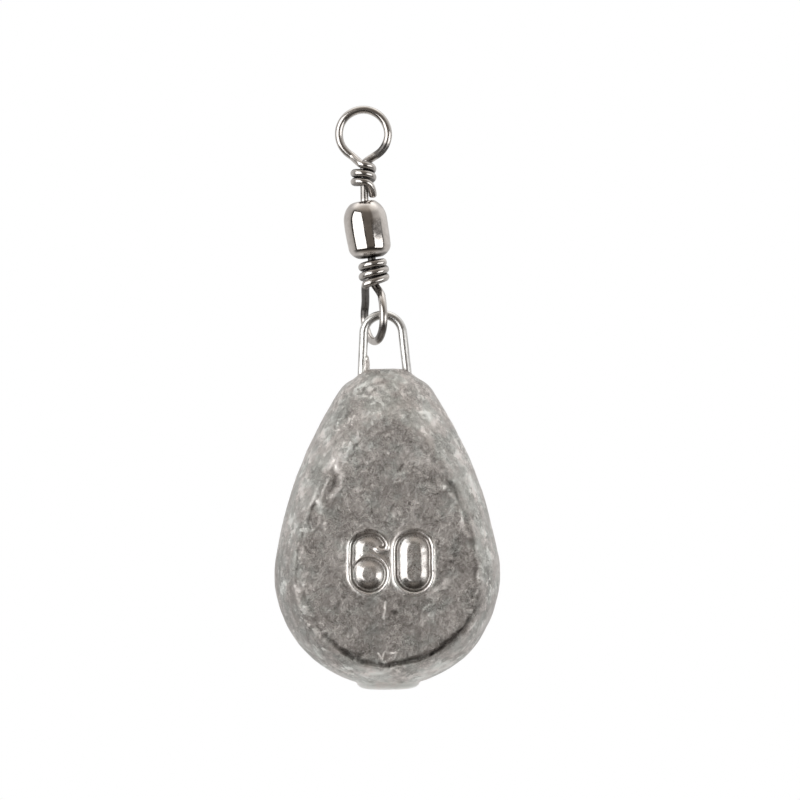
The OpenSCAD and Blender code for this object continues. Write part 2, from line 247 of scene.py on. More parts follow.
def lead_material():
    """Dull grey cast lead with streaks, grain, flecks painted bright as glints, places rubbed smooth, and
    the painted light and shade stored for each point.
    """
    made, g = material("cast_lead")
    mm = g.millimetres()
    tone_and_painted_light, polish, flaky = g.stored("tone_and_painted_light"), g.stored("polish"), g.stored("flaky")
    dull = g.minus(1.0, polish)

    # Patterns, from broad to fine
    broad = g.noise(mm, 0.28, 3, 0.5)
    blotch = g.span(g.noise(mm, 0.7, 5, 0.6, 1.6), 0.43, 0.57)
    streak = g.noise(mm, 1.3, 4, 0.6, 1.4)
    crinkle = g.noise(mm, 3.1, 3, 0.5, 2.2)
    grain = g.noise(mm, 9.0, 2, 0.6)
    large = g.cells(mm, 1.35, 0.9)
    small = g.cells(mm, 3.0, 0.5)
    line = g.math("ABSOLUTE", g.minus(g.noise(mm, 1.15, 3, 0.55, 1.8), 0.5))
    vein = g.times(g.span(line, 0.004, 0.024, 1, 0), g.span(g.noise(mm, 1.7, 3, 0.6), 0.50, 0.60))

    # Where these patterns are strong, and where the bright flecks, which are painted glints, gather
    lively = g.times(g.span(g.noise(mm, 0.42, 2, 0.5), 0.38, 0.6, 0.5, 1.3),
                     g.span(flaky, 0.08, 0.2, 1.25, 1.0))
    cluster = g.span(g.noise(mm, 0.5, 3, 0.55), 0.47, 0.60, 0.0, 1.2)
    fleck = g.most(g.span(large, 0.82, 0.92), g.times(g.span(small, 0.78, 0.88), 0.8))

    shade = g.times(g.minus(streak, 0.5), 0.40)
    for pattern, amount in ((crinkle, 0.48), (grain, 0.20), (large, 0.05), (small, 0.075)):
        shade = g.plus(shade, g.times(g.minus(pattern, 0.5), amount))
    shade = g.times(g.plus(shade, g.times(vein, 0.17)), lively)
    shade = g.times(g.plus(shade, g.times(g.minus(blotch, 0.5), 0.055)), dull)
    # The stored value brings in the painted light and shade, and the painted glints of the flecks are added
    # here
    shade = g.plus(shade, g.times(broad, 0.40), g.times(fleck, cluster, flaky), LEAD_SHADE, tone_and_painted_light)
    colour = g.ramp(shade, LEAD_COLOURS)
    warm = g.plus(g.noise(mm, 0.55, 4, 0.6), g.span(flaky, 0.08, 0.2, 0.07, 0.0))
    tint = g.ramp(g.span(warm, 0.38, 0.62), [(0.0, LEAD_COOL), (1.0, LEAD_WARM)])
    rough = g.minus(g.span(crinkle, 0.3, 0.7, 0.34, 0.52), g.times(polish, 0.12))

    height = g.times(streak, 0.6)
    for pattern, amount in ((crinkle, 0.5), (grain, 0.08), (g.plus(large, small), 0.07), (vein, 0.12)):
        height = g.plus(height, g.times(pattern, amount))
    normal = g.bump(g.times(height, lively), LEAD_BUMP, g.span(dull, 0.0, 1.0, 0.05, 1.0))
    shader = g.add("ShaderNodeBsdfPrincipled", {
        "Base Color": g.vector("MULTIPLY", colour, tint), "Metallic": 0.9, "Roughness": rough,
        "Normal": normal})
    g.add("ShaderNodeOutputMaterial", {"Surface": shader.outputs[0]})
    return made


def wire_material(name, colour, low, high, lines):
    """Bright metal with faint drawn lines, small dull patches and painted shade in its crevices and other
    shaded places.
    """
    made, g = material(name)
    mm = g.millimetres()
    dark = g.stored("painted_shade")
    patch = g.noise(mm, 1.7, 5, 0.6)
    fine = g.noise(mm, 14.0, 3, 0.6)
    tint = g.ramp(patch, [(0.3, tuple(c * 0.8 for c in colour)), (0.62, colour)])
    # Painted shade: a high stored value darkens the colour and makes the metal duller
    bright = g.minus(1.0, g.times(dark, g.span(patch, 0.2, 0.7, 0.93, 0.82)))
    rough = g.plus(g.span(patch, 0.35, 0.7, low, high), g.times(dark, 0.2))
    normal = g.bump(g.plus(patch, g.times(fine, lines)), WIRE_BUMP, 0.7)
    shader = g.add("ShaderNodeBsdfPrincipled", {
        "Base Color": g.scaled(tint, bright), "Metallic": 1.0, "Roughness": rough, "Normal": normal,
        "Specular Tint": (0.72, 0.71, 0.70, 1.0)})
    g.add("ShaderNodeOutputMaterial", {"Surface": shader.outputs[0]})
    return made


LEAD = lead_material()
BARREL_METAL = wire_material("nickel_barrel", (0.70, 0.655, 0.62), 0.07, 0.13, 0.15)
EYE_WIRE = wire_material("nickel_wire", (0.65, 0.615, 0.585), 0.17, 0.24, 0.06)
LOOP_WIRE = wire_material("steel_wire", (0.78, 0.77, 0.75), 0.28, 0.35, 0.03)


# ---- wires ----
WIRE_SIDES, WIRE_STEP = 20, 0.09
WIRE_UNEVEN = 0.008
TIP = 0.86


def tube_faces(rows, sides):
    """Faces of a tube of rows of points, closed by one more point at each end."""
    faces = []
    for i in range(rows - 1):
        for k in range(sides):
            j = (k + 1) % sides
            faces.append((i * sides + k, i * sides + j, (i + 1) * sides + j, (i + 1) * sides + k))
    first, last, base = rows * sides, rows * sides + 1, (rows - 1) * sides
    for k in range(sides):
        j = (k + 1) % sides
        faces.append((first, j, k))
        faces.append((last, base + k, base + j))
    return faces


def sweep(path, radius, sides=WIRE_SIDES):
    """A round wire along a path, closed at both ends."""
    p = np.asarray(path, float)
    r = np.broadcast_to(np.asarray(radius, float), (len(p),))
    along = np.gradient(p, axis=0)
    along /= np.linalg.norm(along, axis=1)[:, None]
    side = np.zeros_like(p)
    v = np.array([0.0, 1.0, 0.0]) if abs(along[0][1]) < 0.9 else np.array([1.0, 0.0, 0.0])
    for i, t in enumerate(along):
        v = v - v.dot(t) * t
        v /= np.linalg.norm(v)
        side[i] = v
    other = np.cross(along, side)
    a = np.arange(sides) * 2 * math.pi / sides
    ring = np.cos(a)[None, :, None] * side[:, None] + np.sin(a)[None, :, None] * other[:, None]
    points = (p[:, None] + r[:, None, None] * ring).reshape(-1, 3)
    return np.vstack([points, p[0], p[-1]]), tube_faces(len(p), sides)


def even(path, gap):
    """The same path with points at even distances."""
    p = np.asarray(path, float)
    d = np.concatenate([[0], np.cumsum(np.linalg.norm(np.diff(p, axis=0), axis=1))])
    t = np.linspace(0, d[-1], max(8, int(d[-1] / gap)))
    return np.stack([np.interp(t, d, p[:, k]) for k in range(3)], -1)


def bezier(a, b, c, d, t):
    """A curve from a to d, pulled toward b and c, at the shares t of its way."""
    t = np.asarray(t, float)[:, None]
    s = 1 - t
    return s ** 3 * a + 3 * s * s * t * b + 3 * s * t * t * c + t ** 3 * d


def eye_head(face_z):
    """Path and radii of the head at the shaft's end, up to its face."""
    low = face_z - HEAD_H
    profile = [(low, 0.3), (low, HEAD_R - HEAD_BEVEL), (low + HEAD_BEVEL, HEAD_R),
               (face_z - HEAD_BEVEL, HEAD_R), (face_z - 0.02, HEAD_R - HEAD_BEVEL), (face_z, EYE_R)]
    return np.array([[0, 0, z + 0.0005 * k] for k, (z, r) in enumerate(profile)]), [r for z, r in profile]


def shaft_line(face_z, end_z):
    return [np.array([0, 0, z]) for z in np.linspace(face_z + 0.1, end_z, 30)]


def whole_wire(head, head_radii, rest):
    """The head and the rest of an eye's wire, with a slightly thinner cut end."""
    rest = even(rest, WIRE_STEP)
    radius = np.array(head_radii + [EYE_R] * len(rest))
    radius[-1] = EYE_R * TIP
    return np.vstack([head, rest]), radius


def wrap_path(wrap_r, pitch, cross_z, turns, tail, tail_arc=80):
    """From the ring's end across to the shaft, then round it, with the tail bent away."""
    away = np.array([math.sin(NECK_TURN), 0, -math.cos(NECK_TURN)])
    leave = np.array([-RING_R * math.cos(NECK_TURN), 0, -RING_R * math.sin(NECK_TURN)])
    slope = math.atan(pitch / (2 * math.pi * wrap_r))
    meet = np.array([0, -wrap_r, -cross_z])
    pull = meet - 0.5 * np.array([math.cos(slope), 0, -math.sin(slope)])
    out = list(bezier(leave, leave + 0.5 * away, pull, meet, np.linspace(0, 1, CROSSING + 1)[:-1]))
    start = turns * 360 - tail_arc
    for a in np.linspace(0, turns * 360, int(turns * PER_TURN)):
        b = max(0.0, a - start) / tail_arc
        q = math.radians(a)
        out.append(np.array([wrap_r * math.sin(q), -wrap_r * math.cos(q),
                             -cross_z - pitch * a / 360 - tail * b * b]))
    return out


def eye_path(wraps, reach, head_play):
    """The whole wire of an eye: head, shaft, ring and wraps."""
    face_z = -reach - BARREL_END / 2 - head_play
    head, head_radii = eye_head(face_z)
    rest = shaft_line(face_z, BEND_Z)
    for a in np.linspace(0, NECK_TURN, 12)[1:]:
        rest.append(np.array([NECK_BEND_R * (1 - math.cos(a)), 0, BEND_Z + NECK_BEND_R * math.sin(a)]))
    for a in np.linspace(-NECK_TURN, math.pi + NECK_TURN, 150):
        rest.append(np.array([RING_R * math.cos(a), 0, RING_R * math.sin(a)]))
    return whole_wire(head, head_radii, rest + list(wraps))


def place_upper(p):
    return lean(p, UPPER_LEAN)


def place_lower(p):
    upside_down = np.asarray(p, float) * np.array([1, 1, -1])
    return lean(turned(upside_down, math.radians(-LINK_TURN)), LOWER_LEAN) + LOWER_RING_AT


CROSSING, PER_TURN = 23, 72
UPPER_PITCH, LOWER_PITCH = 0.8, 0.85
UPPER_TURNS, LOWER_TURNS = 2.25, 2.4
UPPER_CROSS, LOWER_CROSS = NECK + 0.18, NECK + 0.2
UPPER_REACH = UPPER_CROSS + UPPER_TURNS * UPPER_PITCH + 1.62 + BARREL_END / 2
LOWER_REACH = LOWER_CROSS + LOWER_TURNS * LOWER_PITCH + 0.46 + BARREL_END / 2


def crevices(path, radius, turned_away, shaft):
    """Painted shade where a wrap faces its neighbours and, by the amount shaft, on the shaft below the ring,
    plus the painted shade that turned_away gives each place along the path.
    """
    points, _ = sweep(path, radius)
    around = (points[:-2].reshape(len(path), WIRE_SIDES, 3) - path[:, None]) / radius[:, None, None]
    from_axis, z = np.hypot(path[:, 0], path[:, 1]), path[:, 2]
    wound = (from_axis > 0.7) & (z < -NECK - 0.1) & (np.arange(len(path)) < len(path) - 8)
    inner = (from_axis < 0.2) & (z > -6.2) & (z < -NECK)
    dark = 0.85 * step(np.abs(around[..., 2]), 0.45, 0.9) * wound[:, None] + shaft * inner[:, None]
    dark = np.maximum(dark, turned_away[:, None])
    return np.concatenate([dark.reshape(-1), [0, 0]])


coil = []
for i, p in enumerate(wrap_path(0.86, UPPER_PITCH, UPPER_CROSS, UPPER_TURNS, 1.0)):
    # The wraps droop on one side and stand a little to the left
    a = max(0, i - CROSSING) / (int(UPPER_TURNS * PER_TURN) - 1) * UPPER_TURNS * 360
    droop = 0.36 * (1 - math.cos(math.radians(a))) / 2
    coil.append(p + [-0.07 * min(a / 90, 1), 0, -droop])
path, radius = eye_path(coil, UPPER_REACH, 0.15)
points, faces = sweep(path, radius)
points = uneven(place_upper(points), WIRE_UNEVEN, 0.9, 11)
eye = build("upper_eye_wire", points, faces, "upper_eye", ["upper_eye"], EYE_WIRE)
# Painted shade on the ring's lower right, standing in for a dark reflection there, on top of the painted
# shade between the wraps and on the shaft
low_right = step(path[:, 0], 0.9, 1.3) * step(-path[:, 2], 0.6, 1.2) * 0.85
give(eye, "painted_shade", crevices(path, radius, low_right, 0.4))


def lower_path():
    """The lower eye's wire: both strands leave the ring's plane on their way to the wraps."""
    face_z = -LOWER_REACH - BARREL_END / 2 - 0.7
    head, head_radii = eye_head(face_z)
    shaft_end = np.array([0, 0, -3.4])
    ways = np.linspace(0, 1, 20)
    turn = np.radians(np.linspace(-50, 200, 150))
    leaving = np.interp(np.degrees(turn), [-50, -35, -15, 0, 200], [0.24, 0.13, 0.02, 0, 0])
    smooth = leaving.copy()
    smooth[6:-6] = np.convolve(leaving, np.ones(13) / 13, "valid")
    ring = np.stack([RING_R * np.cos(turn), smooth, RING_R * np.sin(turn)], -1)
    start, end = ring[0], ring[-1]
    way_in = (ring[1] - ring[0]) / np.linalg.norm(ring[1] - ring[0])
    right = bezier(shaft_end, np.array([0.1, 0.12, -2.9]), start - 0.7 * way_in + [0.1, 0.1, 0], start, ways)
    facing = math.radians(LINK_TURN)
    wrap_r, first_z, pitch, lowest, crowding = 1.09, 3.15, 0.87, 5.09, 24
    wraps = []
    for a in np.linspace(30, 852, 210):
        q = math.radians(a)
        side = wrap_r * math.sin(q - facing)
        slope = 0.09 + 0.13 * (1 - float(step(a, 90, 480)))
        h = first_z + pitch * a / 360 + slope * side
        # The last wrap is pressed flat below the barrel
        most = lowest + 0.04 * side
        h = most - math.log1p(math.exp((most - h) * crowding)) / crowding
        shift = 0.15 * float(step(a, 30, 150))
        wraps.append(np.array([wrap_r * math.sin(q) + shift * math.cos(facing),
                               -wrap_r * math.cos(q) + shift * math.sin(facing), -h]))
    wraps = np.array(wraps)
    # The strand comes from behind the shaft's left side up into the first wrap
    back_in = turned([-0.12, 0.5, 0.45], facing)
    left = bezier(end, end + [0.45, 0, -1.0], wraps[0] + back_in, wraps[0], ways)
    return whole_wire(head, head_radii, np.vstack([
        shaft_line(face_z, shaft_end[2]), right[1:], ring[1:], left[1:], wraps[1:]]))


path, radius = lower_path()
points, faces = sweep(path, radius)
points = uneven(place_lower(points), WIRE_UNEVEN, 0.9, 21)
# Upside down, so each face is turned round
faces = [f[::-1] for f in faces]
eye = build("lower_eye_wire", points, faces, "lower_eye", ["lower_eye"], EYE_WIRE)
facing = math.radians(LINK_TURN)
across_view = path[:, 0] * math.cos(facing) + path[:, 1] * math.sin(facing)
# Painted shade on the strand at the left of the view and at the ring's right foot, on top of the painted
# shade between the wraps and on the shaft
left_strand = (0.9 * step(-across_view, 0.5, 0.7) * step(-path[:, 2], -0.3, 0.1)
               * step(path[:, 2], -3.05, -2.9))
right_foot = 0.6 * step(path[:, 0], 0.7, 1.2) * step(path[:, 2], 0.2, 0.8)
give(eye, "painted_shade", crevices(path, radius, np.maximum(left_strand, right_foot), 0.9))


def loop_path():
    """From the left foot over the arch to the right foot, with the origin at the arch's middle."""
    s = math.radians(LEG_SPLAY)
    leg = (ARCH_R * math.sin(s) + LOOP_RISE + LEG_CAST) / math.cos(s)
    half = []
    for a in np.linspace(math.pi / 2, s, 40):
        half.append([ARCH_R * math.cos(a), 0, ARCH_R * math.sin(a)])
    local = [[ARCH_R, 0, -z] for z in np.linspace(0, leg, 120)[1:]]
    for a in np.radians(np.linspace(180, 180 + FOOT_TURN, 20))[1:]:
        local.append([ARCH_R + FOOT_BEND_R + FOOT_BEND_R * math.cos(a), 0,
                      -leg + FOOT_BEND_R * math.sin(a)])
    half = np.vstack([half, lean(local, LEG_SPLAY)])
    other = half * np.array([-1, 1, 1])
    return even(np.vstack([other[::-1], half[1:]]), 0.12)


points, faces = sweep(loop_path(), LOOP_R, 24)
points = uneven(lean(points, LOOP_LEAN) + LOOP_AT, 0.012, 1.4, 31)
build("loop_wire", points, faces, "sinker", ["wire_loop"], LOOP_WIRE)


# ---- the barrel ----
def quarter(corner, w, h, start, end, n):
    """Part of an ellipse about a corner, by radius and height."""
    a = np.radians(np.linspace(start, end, n))
    return np.stack([corner[0] + w * np.sin(a), corner[1] + h * np.cos(a)], -1)


side_r, hole_r = BARREL_D / 2, EYE_R + 0.1
half_h, low_h = BARREL_LEN / 2, BARREL_LEN / 2 - 0.15
rim_r, cavity_h, cavity_r = hole_r + 0.27, half_h - BARREL_END, side_r - BARREL_SIDE
HOLE_BEVEL, CAVITY_BEVEL = 0.05, 0.3
inside_wall = [
    [hole_r + HOLE_BEVEL, -low_h], [hole_r, HOLE_BEVEL - low_h], [hole_r, -cavity_h],
    [cavity_r - CAVITY_BEVEL, -cavity_h], [cavity_r, CAVITY_BEVEL - cavity_h],
    [cavity_r, cavity_h - CAVITY_BEVEL], [cavity_r - CAVITY_BEVEL, cavity_h],
    [hole_r, cavity_h], [hole_r, half_h - HOLE_BEVEL], [hole_r + HOLE_BEVEL, half_h]]
outline = np.vstack([
    quarter((rim_r, half_h - TOP_SHOULDER), side_r - rim_r, TOP_SHOULDER, 0, 90, 36),
    [[side_r, z] for z in np.linspace(half_h - TOP_SHOULDER, LOW_SHOULDER - low_h, 24)[1:-1]],
    quarter((rim_r, LOW_SHOULDER - low_h), side_r - rim_r, -LOW_SHOULDER, 90, 0, 30),
    inside_wall])
n_round, n_out = 144, len(outline)
turn = np.arange(n_round) * 2 * math.pi / n_round
points = np.stack([outline[:, :1] * np.cos(turn), outline[:, :1] * np.sin(turn),
                   np.repeat(outline[:, 1:], n_round, 1)], -1).reshape(-1, 3)
faces = []
for i in range(n_out):
    for k in range(n_round):
        a, b, j = i * n_round, (i + 1) % n_out * n_round, (k + 1) % n_round
        faces.append((a + k, b + k, b + j, a + j))
far, high = np.hypot(points[:, 0], points[:, 1]), points[:, 2]
outer = np.repeat(np.arange(n_out) < n_out - len(inside_wall) - 1, n_round)
# The wall is slightly crowned and uneven, and stands a little to the left
swell = 1 - outer * 0.04 * ((high - 0.3) / 2.2) ** 2 * step(far, 0.9, 1.6)
points[:, :2] = points[:, :2] * (swell + outer * 0.0016 * layered(points, 1.6, 2, 41))[:, None]
points[:, 0] -= outer * (0.07 + 0.05 * step(high, -1.6, 0.4)) * step(far, 0.75, 1.4)
# Painted shade on the barrel's underside above the wraps and round the hole at its top
under = step(-high, 2.0, 2.4) * (1 - step(far, 1.6, 1.95))
round_hole = step(high, 2.6, 2.75) * (1 - step(far, 0.52, 0.7))
points = lean(points, BARREL_LEAN) + BARREL_AT
shell = build("barrel_shell", points, faces, "barrel", ["swivel_barrel"], BARREL_METAL)
give(shell, "painted_shade", 0.85 * np.maximum(under, round_hole))


# ---- the lead body ----
def pear_outline():
    """Radius and height from the bottom to the top, with the widest level at zero height."""
    bottom, belly, flank, crown, gate, drop = 10.7, 11.2, 40.6, 5.2, 2.95, 0.23
    to_1, to_2, to_3 = (math.radians(v) for v in (9.5, 33.0, 70.0))
    low = -bottom - drop
    meet = math.asin(gate / bottom)
    wall = -bottom * math.cos(meet) - low
    ew, eh = gate * 0.45, wall * 0.8

    def arc(centre, r, start, end, n):
        """Points on a circle between two angles."""
        a = np.linspace(start, end, n)
        return np.stack([centre[0] + r * np.cos(a), centre[1] + r * np.sin(a)], -1)

    c1 = np.array([bottom - belly, 0.0])
    c2 = c1 + (belly - flank) * np.array([math.cos(to_1), math.sin(to_1)])
    c3 = c2 + (flank - crown) * np.array([math.cos(to_2), math.sin(to_2)])
    top = c3[1] + crown * math.sin(to_3)
    a = np.linspace(0, math.pi / 2, 20)
    edge = np.stack([gate - ew + ew * np.sin(a), low + eh - eh * np.cos(a)], -1)
    return np.vstack([
        [[0, low]], edge, arc((0, 0), bottom, meet - math.pi / 2, 0, 120)[1:],
        arc(c1, belly, 0, to_1, 30)[1:], arc(c2, flank, to_1, to_2, 90)[1:],
        arc(c3, crown, to_2, to_3, 40)[1:], [[0, top]]]), top


OUTLINE, PEAR_TOP = pear_outline()

# Rows up the outline, closest together over the figures
length = np.concatenate([[0], np.cumsum(np.linalg.norm(np.diff(OUTLINE, axis=0), axis=1))])
fine_at = np.linspace(0, length[-1], 4000)
fine_w = np.interp(fine_at, length, OUTLINE[:, 1])
gap = np.where((fine_w > -2.05) & (fine_w < 4.75), 0.065,
               np.where((fine_w > -9.4) & (fine_w < 15.5), 0.14, 0.2))
count = np.concatenate([[0], np.cumsum(np.diff(fine_at) / gap[1:])])
ROWS = int(count[-1])
at = np.interp(np.linspace(0, count[-1], ROWS + 2)[1:-1], count, fine_at)
row_r = np.interp(at, length, OUTLINE[:, 0])
row_w = np.interp(at, length, OUTLINE[:, 1])

# Columns round the section, closest together over the figures
EDGE_ANGLE = math.radians(56)
FIGURES_FROM, FIGURES_TO = -0.37, 0.446
reach = math.sin(EDGE_ANGLE)
front = np.arcsin(np.concatenate([
    np.linspace(-reach, FIGURES_FROM, 32)[:-1], np.linspace(FIGURES_FROM, FIGURES_TO, 134)[:-1],
    np.linspace(FIGURES_TO, reach, 28)]))
right = np.linspace(EDGE_ANGLE, math.pi - EDGE_ANGLE, 30)[1:-1]
back = math.pi - np.arcsin(np.linspace(reach, -reach, 25))
left = 2 * math.pi - right[::-1]
columns = np.concatenate([front, right, back, left])
COLS = len(columns)


def soft_least(a, b, k):
    """The smaller of two values, with the change between them rounded over k."""
    h = np.clip(0.5 + 0.5 * (b - a) / k, 0, 1)
    return b * (1 - h) + a * h - k * h * (1 - h)


# Across, forward and up, with a low dome on the crown and the flats cut at DEPTH
DOME, DOME_TOP = 0.17, 0.15
u = row_r[:, None] * np.sin(columns)[None, :]
v = -row_r[:, None] * np.cos(columns)[None, :]
w = np.repeat(row_w[:, None], COLS, 1)
w = w + DOME * (np.clip(1 - (row_r / 2.4) ** 2, 0, 1) * (row_w > 15))[:, None]
v = np.sign(v) * soft_least(np.abs(v), DEPTH, 0.3)
base = np.stack([u, v, w], -1)

# Outward directions of the smooth body
dr = np.empty_like(base)
dr[1:-1] = base[2:] - base[:-2]
dr[0], dr[-1] = base[1] - base[0], base[-1] - base[-2]
dc = np.roll(base, -1, 1) - np.roll(base, 1, 1)
out = np.cross(dc, dr)
out /= np.linalg.norm(out, axis=2)[..., None] + 1e-12

is_front = step(-v, 1.0, 4.5)


def to_line(pu, pw, line):
    """Distance from each place to a line of points."""
    best = np.full(pu.shape, 1e9)
    line = np.asarray(line, float)
    for a, b in zip(line[:-1], line[1:]):
        d = b - a
        t = np.clip(((pu - a[0]) * d[0] + (pw - a[1]) * d[1]) / max(d.dot(d), 1e-12), 0, 1)
        best = np.minimum(best, np.hypot(pu - a[0] - t * d[0], pw - a[1] - t * d[1]))
    return best


def within(pu, pw, line):
    """Whether each place lies inside a closed line of points."""
    inside = np.zeros(pu.shape, bool)
    for (x1, y1), (x2, y2) in zip(line, line[1:] + line[:1]):
        if y1 != y2:
            crosses = ((y1 > pw) != (y2 > pw)) & (pu < (x2 - x1) * (pw - y1) / (y2 - y1) + x1)
            inside ^= crosses
    return inside


# ---- the struck number ----
FIG_R = 1.32
SIX_U, ZERO_U = -1.71, 2.5
BOWL_W, ARCH_W = 0.13, 2.38
HOOK = math.radians(22)


def round_figure(pu, pw, cu):
    """Distance outward from the middle line of a figure's stroke."""
    return np.hypot(pu - cu, pw - np.clip(pw, BOWL_W, ARCH_W)) - FIG_R


def groove(s):
    """Depth of the groove, with a long even slope on its inner side and a steep outer wall."""
    t = np.clip((s + 0.78) / 0.93, 0, 1)
    slope = np.where(t < 0.35, t * t / 0.7, t - 0.175) / 0.825
    return slope * (1 - step(s, 0.17, 0.42))


def wall(s):
    """The steep outer wall of the groove."""
    return step(s, 0.14, 0.26) * (1 - step(s, 0.38, 0.48))


def ridge(s):
    """The raised rim outside the groove."""
    return np.exp(-((s - 0.58) / 0.19) ** 2)


fu = u + 0.03 * layered(base, 1.1, 2, 71)
fw = w + 0.03 * layered(base, 1.1, 2, 73)
zero = round_figure(fu, fw, ZERO_U)
hull = round_figure(fu, fw, SIX_U)
bowl = np.hypot(fu - SIX_U, fw - BOWL_W) - FIG_R
turn = np.arctan2(fw - ARCH_W, fu - SIX_U)
in_hook = ((fw >= ARCH_W) & (turn > HOOK)) | ((fu < SIX_U) & (fw > BOWL_W))
hook = np.where(in_hook, hull, -9.0)
hook_end = np.hypot(fu - SIX_U - FIG_R * math.cos(HOOK), fw - ARCH_W - FIG_R * math.sin(HOOK))
cap = np.where(in_hook, 9.0, hook_end)
shapes = [zero, bowl, hook, cap]
depth = np.max([groove(zero), groove(bowl), groove(hook), 1 - step(cap, 0.1, 0.42)], 0)
walls = np.max([wall(x) for x in shapes], 0) * step(depth, 0.0, 0.1)
ridges = np.max([ridge(x) for x in shapes], 0) * (1 - step(depth, 0.02, 0.25))
centre = np.where(fu < 0.4, SIX_U, ZERO_U)
du, dw = fu - centre, fw - np.clip(fw, BOWL_W, ARCH_W)
facing_up = dw / (np.hypot(du, dw) + 1e-6)
near_figures = np.minimum(hull, zero)
polish = (1 - step(near_figures, 0.5, 1.0)) * is_front
figures = -0.42 * depth + ridges * (0.10 - 0.06 * step(facing_up, 0.2, 0.8))


# ---- the edge of the front flat ----
EDGE = [
    (0.4, 14.87), (1.53, 14.58), (2.29, 13.91), (4.17, 12.23), (5.34, 10.55), (6.27, 8.17), (6.97, 6.5),
    (7.9, 4.59), (8.17, 3.12), (8.58, 0.74), (8.69, -2.11), (8.06, -3.77), (6.86, -5.19), (5.42, -6.6),
    (3.99, -7.53), (2.08, -7.99), (-0.54, -8.44), (-1.72, -8.29), (-3.38, -7.7), (-5.03, -6.5), (-6.44,
    -5.06), (-7.74, -1.68), (-8.2, 0.42), (-8.27, 2.08), (-7.88, 3.74), (-7.53, 4.97), (-6.57, 6.63),
    (-6.08, 7.81), (-5.36, 9.47), (-4.15, 10.88), (-2.72, 12.29), (-1.51, 14.18), (-0.75, 14.7)
]
wobble = 0.16 * layered(base * np.array([1, 0, 1]), 1.7, 3, 51)
inside = within(u + wobble, w - wobble, EDGE)
edge_in = to_line(u + wobble, w - wobble, EDGE + EDGE[:1]) * np.where(inside, 1.0, -1.0)
# The edge shows most below, and not at all at the top
lower_part = step(-w, 2.0, 5.0)
edge_show = step(np.abs(u), 4.6, 6.6) * (1 - lower_part) * 0.5 + lower_part * 0.75
in_crease = np.exp(-((edge_in - 0.05) / 0.2) ** 2)
crease = -0.11 * edge_show * in_crease
rough_lip = 0.35 + 0.65 * step(layered(base, 1.5, 2, 61), -0.1, 0.7)
lip = 0.07 * (0.4 + 0.6 * edge_show) * np.exp(-((edge_in + 0.35) / 0.25) ** 2) * rough_lip
panel = step(edge_in, -0.3, 0.5) * is_front

# ---- relief ----
lumps = 0.035 * layered(base, 4.5, 2, 5) + 0.022 * layered(base, 1.3, 3, 8) - 0.03
grit = 0.010 * layered(base, 0.42, 2, 15)
pits = -0.04 * step(smooth_noise(base, 0.5, 91), 0.66, 0.9)
# The lower right side is fuller, and the crown is thinner beside the legs
trims = 0.16 * np.exp(-((u - 7.6) / 1.8) ** 2 - ((w + 6.6) / 3.0) ** 2)
trims = trims - 0.16 * np.exp(-((np.abs(u) - 3.1) / 0.9) ** 2 - ((w - 18.7) / 0.7) ** 2)
move = trims + (lumps + grit * (1 - polish) + pits * (1 - polish)) * (1 - 0.6 * polish)
rubbed = 0.014 * layered(base, 0.6, 2, 171) * polish
move = move + is_front * (figures + (crease + lip) * (1 - polish) + rubbed)

# ---- painted light and shade, with the lead's own patches: the figures, then the edge, the flat, the sides and the foot ----
# Painted light and shade on the figures: dark walls in the grooves, inner slopes painted lighter at the top
# of each figure and darker at its bottom, and rims painted bright except at their tops, which are painted
# dark
inner = np.max([step(x, -0.62, -0.1) * (1 - step(x, 0.0, 0.15)) for x in (zero, bowl)], 0)
slopes = 0.16 * step(facing_up, 0.4, 0.9) - 0.42 * step(-facing_up, 0.4, 0.9)
tone_and_painted_light = (-0.34 * walls + inner * slopes) * is_front
rim_highlight_patches = np.clip(0.8 + 0.6 * layered(base, 0.9, 3, 131), 0.25, 1.2)
tone_and_painted_light = tone_and_painted_light + ridges * is_front * (0.32 * rim_highlight_patches - 0.50 * step(facing_up, 0.1, 0.8))
# Near the figures the lead is painted lighter, partly for the fresher struck metal and partly as a painted
# highlight
tone_and_painted_light = tone_and_painted_light + 0.30 * polish
patches = layered(base, 1.5, 3, 141) * (1 - panel) * step(-w, 3.0, 8.0)
tone_and_painted_light = tone_and_painted_light + 0.09 * patches
tone_and_painted_light = tone_and_painted_light + 0.10 * layered(base, 0.6, 3, 161) * step(-w, 9.7, 10.4)
# Painted shade in the crease along the flat's edge, and a painted highlight on the lip just outside it
tone_and_painted_light = tone_and_painted_light - 0.23 * edge_show * in_crease * is_front
tone_and_painted_light = tone_and_painted_light + 0.19 * edge_show * np.exp(-((edge_in + 0.35) / 0.2) ** 2) * is_front * rough_lip
# Painted light on the flat: a little lighter overall and at the top, and darker towards the lower right
tone_and_painted_light = tone_and_painted_light - panel * (-0.035 + 0.06 * step(u - w, -8, 10) - 0.03 * step(w, 6, 13)) * (1 - polish)
# Painted sheen on the rounded sides off the flat: lighter than the flat, less so at the lower left, more at
# the lower right and higher up
sides = 0.10 - 0.05 * step(-w - u, 6, 10) + 0.03 * step(u - w, 11, 14) + 0.03 * step(w, 5, 11)
tone_and_painted_light = tone_and_painted_light + (1 - panel) * sides
# Painted shade darkens the crown, and painted light lightens the lower band and, still more, the foot and
# its outer edge
tone_and_painted_light = tone_and_painted_light - 0.07 * step(w, 14, 18) + 0.13 * step(-w, 7.6, 9.5)
tone_and_painted_light = tone_and_painted_light + 0.2 * step(-w, 10.1, 10.6) * (1 + 2.9 * step(np.hypot(u, v), 2.3, 2.85))
# How many painted glints the bright flecks give: more low down and on the front, fewer at the crown, few on
# the flat
flecks = 0.26 - 0.06 * step(w, 15, 17) + 0.16 * step(-w, 5.5, 8.5)
flaky = flecks * (1 - panel) * (0.42 + 0.58 * is_front) + 0.08 * panel
